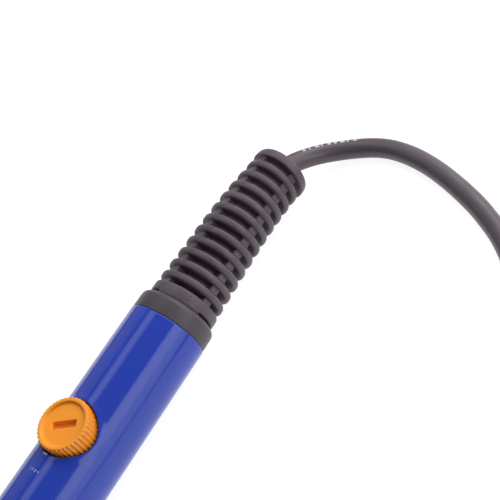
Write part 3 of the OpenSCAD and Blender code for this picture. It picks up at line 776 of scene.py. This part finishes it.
def strain_relief():
    pitch, first, count = 3.9, -69.8, 11
    edge, rib_half, core = 1.1, 1.4, 5.9
    rib0 = math.radians(-19)
    quadrant = [0, 3, 5.5, 7.2, 8.2, 8.9, 9.5, 10.0, 10.5, 11.1, 12, 13.8, 17, 21, 26, 33, 39]
    offs = sorted(set([-q for q in quadrant] + quadrant))
    angles = np.array([rib0 + math.radians(90 * k + o) for k in range(4) for o in offs])
    delta = np.array([math.radians(o) for k in range(4) for o in offs])
    m = len(angles)

    def ring_r(x):
        return 9.42 + 0.12 * (x - first) / pitch

    def base(x):
        """Core with four flat-topped ribs."""
        top = ring_r(x) - 0.8
        flat = top / np.cos(np.minimum(np.abs(delta), 0.3))
        lateral = top * np.tan(np.minimum(np.abs(delta), 0.6))
        side = np.clip((rib_half + 0.14 - lateral) / 0.30, 0, 1)
        side = side * side * (3 - 2 * side)
        foot = 0.35 * np.clip(1 - (lateral - rib_half - 0.1) / 0.7, 0, 1) ** 2
        return core + foot * (1 - side) + (flat - core) * side

    stations = []  # (x, radii)

    def put(x, r):
        stations.append((x, np.broadcast_to(np.asarray(r, float), (m,)).copy()))

    # neck, groove behind the cap, collar
    closed = np.zeros(m)
    for i, a in enumerate(angles):
        lateral = abs(math.sin(a - math.radians(26))) * 9.5
        closed[i] = ease((6.9 - lateral) / 0.8)
    put(-58.0, 7.38)
    put(-63.2, 7.38)
    put(-63.70, 7.38 + closed * 0.2)
    put(-63.74, 7.40 + closed * 1.85)
    put(-63.90, 7.40 + closed * 1.98)
    put(-64.15, 7.40 + closed * 2.02)
    put(-64.26, 7.45 + closed * 1.98)
    put(-64.30, 8.9 + closed * 0.54)
    put(-64.36, 9.25 + closed * 0.22)
    put(-64.52, 9.43)
    put(-64.8, 9.5)
    put(-65.6, 9.5)
    put(-66.6, 9.5)
    put(-67.0, 9.46)
    put(-67.22, 9.36)
    put(-67.30, 9.2)
    put(-67.33, np.maximum(base(-67.3) + 0.25, 8.6 * (base(-67.3) > 7.5)))

    walls = []
    for i in range(count):
        x0 = first - i * pitch
        walls.append((x0, ring_r(x0)))
    prev_end = -67.33
    for x0, r0 in walls + [(None, None)]:
        start = prev_end
        stop = x0 + edge if x0 is not None else -111.5
        for t in (0.10, 0.25, 0.5, 0.75, 0.90):
            x = start + (stop - start) * t
            near = min(start - x, x - stop)
            put(x, base(x) + 0.32 * max(0.0, 1 - near / 0.42) ** 2)
        if x0 is None:
            break
        put(stop + 0.02, base(stop) + 0.34)
        for k in range(13):
            # steep flanks, rounded shoulders and a narrow flat crown
            s = math.radians(-90 + 180 * k / 12)
            w = math.copysign(abs(math.sin(s)) ** 0.72, math.sin(s))
            put(x0 - edge * w, r0 - 0.95 + 0.95 * abs(math.cos(s)) ** 0.72)
        put(x0 - edge - 0.02, base(x0 - edge) + 0.34)
        prev_end = x0 - edge - 0.02
    put(-111.48, base(-111.4) + 0.3)
    put(-111.5, 7.9)
    put(-111.56, 8.2)
    put(-111.75, 8.36)
    put(-112.2, 8.38)
    put(-113.1, 8.33)
    put(-113.7, 8.20)
    put(-114.15, 7.95)
    put(-114.42, 7.60)
    put(-114.56, 7.10)
    put(-114.6, 6.0)
    put(-114.6, 4.9)
    put(-114.66, 4.2)
    put(-114.82, 3.98)
    put(-114.88, 3.65)
    put(-114.86, 3.25)
    put(-114.75, 2.98)
    put(-114.4, 2.86)
    for x in (-112, -108, -104, -100, -96, -92, -88, -70, -58.0):
        put(x, 2.86)
    rows = []
    for x, r in stations:
        c, mat = bend_frame(x)
        local = np.column_stack([np.zeros(m), r * np.sin(angles), r * np.cos(angles)])
        rows.append(c + local @ mat.T)
    v, f = lathe(rows, angles, True)
    o = piece("strain_relief_moulded", v, f, "black_boot", "handle", 48.0, replaces=("strain_relief",))
    bm_fix_normals(o.data)

    # the small moulding mark on the front of the collar
    a = math.radians(40)
    centre = np.array([-65.9, 9.5 * math.sin(a), AXIS_Z + 9.5 * math.cos(a)])
    n = np.array([0, math.sin(a), math.cos(a)])
    t = np.array([0, math.cos(a), -math.sin(a)])
    rows = []
    for rr, h in ((0.62, -0.2), (0.60, 0.02), (0.52, 0.07), (0.42, 0.07), (0.34, 0.02), (0.2, -0.03),
                  (0.05, -0.04)):
        rows.append(np.array([centre + n * h + rr * (math.cos(q) * t + math.sin(q) * np.array([1, 0, 0]))
                              for q in np.linspace(0, 2 * np.pi, 24, endpoint=False)]))
    v, f = lathe(rows, np.zeros(24), False)
    f.append(tuple(range(24)))
    f.append(tuple((len(rows) - 1) * 24 + k for k in range(24)))
    o = piece("collar_moulding_mark", v, f, "black_boot", "handle", 40.0)
    bm_fix_normals(o.data)


strain_relief()


# ---------------------------------------------------------------- grip sleeve and guard

points = [(4.02, 9.52, 0), (4.02, 10.98, 0.35)]
for i in range(8):
    x = 10 + i * 32 / 7
    points += [(x - 0.95, 10.98, 0.35), (x - 0.6, 10.35, 0.35), (x + 0.6, 10.35, 0.35),
               (x + 0.95, 10.98, 0.35)]
points += [(47.98, 10.98, 0.35), (47.98, 9.52, 0)]
v, f = revolve_x(fillet(points, True, 4), 144)
o = piece("grip_sleeve_moulded", v, f, "grip_rubber", "handle", 40.0, replaces=("grip_sleeve",))
bm_fix_normals(o.data)

points = [(48.0, 9.53, 0), (48.0, 13.4, 0.4), (48.25, 14.95, 1.5), (51.75, 14.95, 1.5), (52.0, 12.0, 1.4),
          (53.4, 10.6, 1.2), (57.98, 8.6, 0.5), (57.98, 7.03, 0.1), (52.05, 7.03, 0), (52.05, 9.53, 0)]
v, f = revolve_x(fillet(points, True, 6), 144)
v = np.array(v)
v[:, 2] = np.maximum(v[:, 2], 0.0)
o = piece("hand_guard_moulded", v, f, "black_nylon", "handle", 50.0, replaces=("hand_guard",))
bm_fix_normals(o.data)


# ---------------------------------------------------------------- knurled nut

def nut():
    teeth, per = 36, 6
    segs = teeth * per
    a = np.linspace(0, 2 * np.pi, segs, endpoint=False)
    valley = (0.5 + 0.5 * np.cos(teeth * a)) ** 1.5

    def ring(x, r, depth=0.0):
        rr = r - depth * valley
        return np.column_stack([np.full(segs, x), rr * np.sin(a), AXIS_Z + rr * np.cos(a)])

    rows = [ring(59.0, 7.06), ring(59.0, 8.2), ring(59.12, 8.5), ring(59.5, 8.68), ring(60.1, 8.72),
            ring(60.35, 8.9, 0.1), ring(60.6, 9.3, 0.35), ring(60.9, 9.47, 0.45)]
    rows += [ring(x, 9.48, 0.45) for x in (62, 64, 66, 68, 69.6)]
    rows += [ring(70.1, 9.47, 0.45), ring(70.4, 9.3, 0.35), ring(70.65, 8.9, 0.1), ring(70.9, 8.72),
             ring(71.4, 8.6), ring(71.8, 8.4), ring(71.97, 8.1), ring(71.98, 6.9), ring(71.9, 6.5),
             ring(71.7, 6.34),
             ring(67.6, 6.34), ring(67.6, 7.04)]
    v, f = lathe(rows, a, True)
    o = piece("barrel_nut_knurled", v, f, "nut_steel", "nut", 50.0, replaces=("barrel_nut",))
    bm_fix_normals(o.data)


nut()


# ---------------------------------------------------------------- tie and plug

def cord_tie():
    cx, cy = COIL_CENTRE
    a = math.radians(150)
    out = np.array([math.cos(a), math.sin(a), 0])
    side = np.array([-math.sin(a), math.cos(a), 0])
    lo, hi = 24.0 - 2.8 - 0.75, 35.3 + 2.8 + 0.75
    loop = fillet([(lo, 0.38, 2.6), (hi, 0.38, 2.6), (hi, 11.62, 3.2), (lo, 11.62, 3.2)], True, 7)
    n = len(loop)
    parts = []
    rows = []
    for x, z in loop:
        i = len(rows)
        q0, q1 = np.array(loop[i - 1]), np.array(loop[(i + 1) % n])
        t = (q1 - q0) / np.linalg.norm(q1 - q0)
        nrm = np.array([t[1], -t[0]])
        ring = []
        for w, h in ((-2.4, 0.0), (-2.3, 0.22), (-0.5, 0.28), (0, 0.36), (0.5, 0.28), (2.3, 0.22), (2.4, 0.0),
                     (2.3, -0.22), (0, -0.28), (-2.3, -0.22)):
            px, pz = x + nrm[0] * h, z + nrm[1] * h
            ring.append(np.array([cx, cy, 0]) + out * px + side * w + np.array([0, 0, pz]))
        rows.append(np.array(ring))
    parts.append(lathe(rows, np.zeros(10), True))
    # twisted ends on the top
    for s in (0, math.pi):
        path = []
        for k in range(40):
            t = k / 39
            ang = s + t * 5.5 * math.pi
            r = 0.55 * min(1.0, 4 * t + 0.4)
            px = 30.5 - 9.0 * t
            path.append(np.array([cx, cy, 0]) + out * px + side * (r * math.cos(ang) * 1.0)
                        + np.array([0, 0, 12.45 + 0.45 * r * math.sin(ang)]))
        parts.append(sweep_tube(path, 0.42, 10))
    v, f = join(parts)
    o = piece("cord_tie_twisted", v, f, "tie_wire", "handle", 45.0, replaces=("cord_tie",))
    bm_fix_normals(o.data)
    return o


def plug():
    y0, zc = 115.8, 11.0
    segs = 72
    t = np.linspace(0, 2 * np.pi, segs, endpoint=False)
    circle = np.column_stack([np.cos(t), np.sin(t)])

    def outline(inset):
        """D outline: flat low side with rounded corners, half round top. y to the side, z up."""
        w, h = 12.5 - inset, 23.5 - inset
        out = []
        for c, s in circle:
            if s >= 0:
                out.append((w * c, 11.0 + (h - 11.0) * s))
            else:
                k = 5.0
                rho = (abs(c) ** k + abs(s) ** k) ** (-1 / k)
                out.append((w * c * rho, 11.0 + (11.0 - inset) * s * rho))
        return np.array(out)

    rows = []

    def put(x, yz):
        rows.append(np.column_stack([np.full(segs, x), y0 + yz[:, 0], yz[:, 1]]))

    def round_at(x, r):
        put(x, np.column_stack([r * circle[:, 0], zc + r * circle[:, 1]]))

    round_at(20.0, 3.2)
    round_at(20.0, 7.2)
    round_at(20.25, 7.75)
    round_at(21.0, 8.1)
    for x, s, inset in ((23, 0.0, 3.0), (24.5, 0.10, 2.6), (26, 0.30, 2.0), (27.5, 0.58, 1.3),
                        (29, 0.82, 0.8),
                        (30.5, 0.96, 0.45)):
        r = 8.1 + (x - 21) * 0.45
        c = np.column_stack([r * circle[:, 0], zc + r * circle[:, 1]])
        put(x, c + (outline(inset) - c) * s)
    for i in range(5):  # finger grooves
        x = 32.0 + i * 2.6
        for dx, inset in ((0, 0.30), (0.35, 0.35), (0.6, 0.95), (1.2, 1.1), (1.8, 0.95), (2.05, 0.35)):
            put(x + dx, outline(inset))
    for x, inset in ((45.2, 0.25), (47, 0.1), (49.5, 0.02), (50.8, 0.05), (51.5, 0.35), (51.9, 0.9),
                     (52.0, 1.6)):
        put(x, outline(inset))
    v, f = lathe(rows, t, False)
    f.append(tuple(range(segs)))
    f.append(tuple((len(rows) - 1) * segs + k for k in range(segs)))
    v = np.array(v)
    v[:, 2] = np.maximum(v[:, 2], 0.0)
    body = piece("plug_body_moulded", v, f, "black_plug", "handle", 40.0, replaces=("plug_body",))
    bm_fix_normals(body.data)

    points = [(-5.0, 2.84, 0), (-5.0, 4.0, 0.5)]
    for i in range(5):
        x = -2.0 + i * 4.2
        r = 4.0 + (x + 5) * 0.096
        points += [(x, r, 0.3), (x + 0.25, r - 0.95, 0.2), (x + 1.35, r - 0.9, 0.2), (x + 1.6, r + 0.15, 0.3)]
    points += [(20.0, 6.4, 0.0), (20.0, 2.84, 0)]
    v, f = revolve_x(fillet(points, True, 3), 56, True, y0, zc)
    boot = piece("plug_strain_relief_moulded", v, f, "black_plug", "handle", 40.0,
                 replaces=("plug_strain_relief",))
    bm_fix_normals(boot.data)
    return body, boot


def cord_marks():
    """The printed line on the cord near the handle, as plain dashes: thin patches on its upper side."""
    p = np.array(cord_path)
    s = np.concatenate([[0], np.cumsum(np.linalg.norm(np.diff(p, axis=0), axis=1))])
    facing = np.array([-0.45, 0.02, 0.89])
    parts = []

    def at(dist):
        q = np.array([np.interp(dist, s, p[:, k]) for k in range(3)])
        e = np.array([np.interp(dist + 0.4, s, p[:, k]) for k in range(3)])
        t = (e - q) / np.linalg.norm(e - q)
        n = facing - t * (facing @ t)
        n /= np.linalg.norm(n)
        return q, n, np.cross(t, n)

    for i, length in enumerate((0.9, 0.5, 1.3, 0.5, 0.9, 0.9, 1.3, 0.5, 0.9)):
        start = 8.5 + i * 1.9
        v = []
        for r in (CORD_R - 0.1, CORD_R + 0.015):
            for k, (dist, turn) in enumerate(((0, -0.2), (0.5, -0.2), (1, -0.2), (1, 0.0), (1, 0.2),
                                              (0.5, 0.2),
                                              (0, 0.2), (0, 0.0))):
                q, n, w = at(start + dist * length)
                v.append(q + r * (math.cos(turn) * n + math.sin(turn) * w))
        f = [tuple(range(7, -1, -1)), tuple(range(8, 16))]
        f += [(k, (k + 1) % 8, 8 + (k + 1) % 8, 8 + k) for k in range(8)]
        parts.append((v, f))
    v, f = join(parts)
    return piece("cord_marks", v, f, "cord_print", "handle", 30.0)


tie = cord_tie()
plug_body, plug_boot = plug()
marks = cord_marks()


# ---------------------------------------------------------------- carried-over CAD nodes

for entry in frame["record"]["subparts"]:
    o = NODES[entry["node"]]
    if o.hide_render:
        continue
    m = MAT[entry["material_slot"]]
    if not o.material_slots:
        o.data.materials.append(m)
    for s in o.material_slots:
        s.material = m


# ---------------------------------------------------------------- floor, light

def floor():
    m, nt, bsdf = new_material("floor_pale")
    tone = remap(nt, noise(nt, 6.0, 2.0), 0.3, 0.7)
    nt.links.new(blend(nt, tone, (0.30, 0.30, 0.30), (0.33, 0.33, 0.33)), bsdf.inputs["Base Color"])
    bsdf.inputs["Roughness"].default_value = 0.9
    bsdf.inputs["Specular IOR Level"].default_value = 0.1
    bsdf.inputs["Emission Color"].default_value = (1, 1, 1, 1)
    bsdf.inputs["Emission Strength"].default_value = 0.88
    me = bpy.data.meshes.new("floor")
    s, z = 20.0, -0.0002
    me.from_pydata([(-s, -s, z), (s, -s, z), (s, s, z), (-s, s, z)], [], [(0, 1, 2, 3)])
    me.materials.append(m)
    o = bpy.data.objects.new("floor", me)
    scene.collection.objects.link(o)


floor()


def softbox(name, elevation, side, distance, x0, x1, height, radiance, in_gloss=True):
    """A box light parallel to X over the handle; side is +1 for +Y and -1 for the other."""
    data = bpy.data.lights.new(name, "AREA")
    data.shape = "RECTANGLE"
    data.size = x1 - x0
    data.size_y = height
    data.energy = radiance * math.pi * data.size * height
    o = bpy.data.objects.new(name, data)
    scene.collection.objects.link(o)
    e = math.radians(elevation)
    d = Vector((0, side * math.cos(e), math.sin(e)))
    o.matrix_world = look(Vector(((x0 + x1) / 2, 0, 0.012)) + d * distance, -d, (0, 0.1 * side, 1))
    o.visible_glossy = in_gloss
    return o


softbox("box_front", 30.5, 1, 0.60, -1.30, 0.02, 0.27, 2.1)
softbox("box_front_low", 9, 1, 0.60, -1.30, 0.02, 0.19, 1.4)
softbox("box_back_strip", 69, -1, 0.60, -1.00, 0.10, 0.19, 1.4)
softbox("box_back_low", 28, -1, 0.80, -1.10, 0.30, 0.56, 0.42)
softbox("fill_above", 84, -1, 0.40, -1.00, -0.14, 0.65, 2.05, False)

# A box light beyond the strain relief, for the bands on its rings
END_WIDTH, END_HEIGHT, END_DISTANCE, END_RADIANCE = 0.9, 0.6, 0.9, 2.4
end_data = bpy.data.lights.new("box_end", "AREA")
end_data.shape = "RECTANGLE"
end_data.size = END_WIDTH
end_data.size_y = END_HEIGHT
end_data.energy = END_RADIANCE * math.pi * END_WIDTH * END_HEIGHT
end_box = bpy.data.objects.new("box_end", end_data)
scene.collection.objects.link(end_box)
end_way = Vector((-0.84, 0.16, 0.52)).normalized()
end_box.matrix_world = look(Vector((-0.08, 0, 0.01)) + end_way * END_DISTANCE, -end_way, (0, 0, 1))

world = bpy.data.worlds.new("studio")
scene.world = world
world.use_nodes = True
world.node_tree.nodes["Background"].inputs[0].default_value = (1.0, 1.0, 1.0, 1.0)
world.node_tree.nodes["Background"].inputs[1].default_value = 0.12
scene.view_settings.view_transform = "Standard"
scene.view_settings.exposure = 0.0
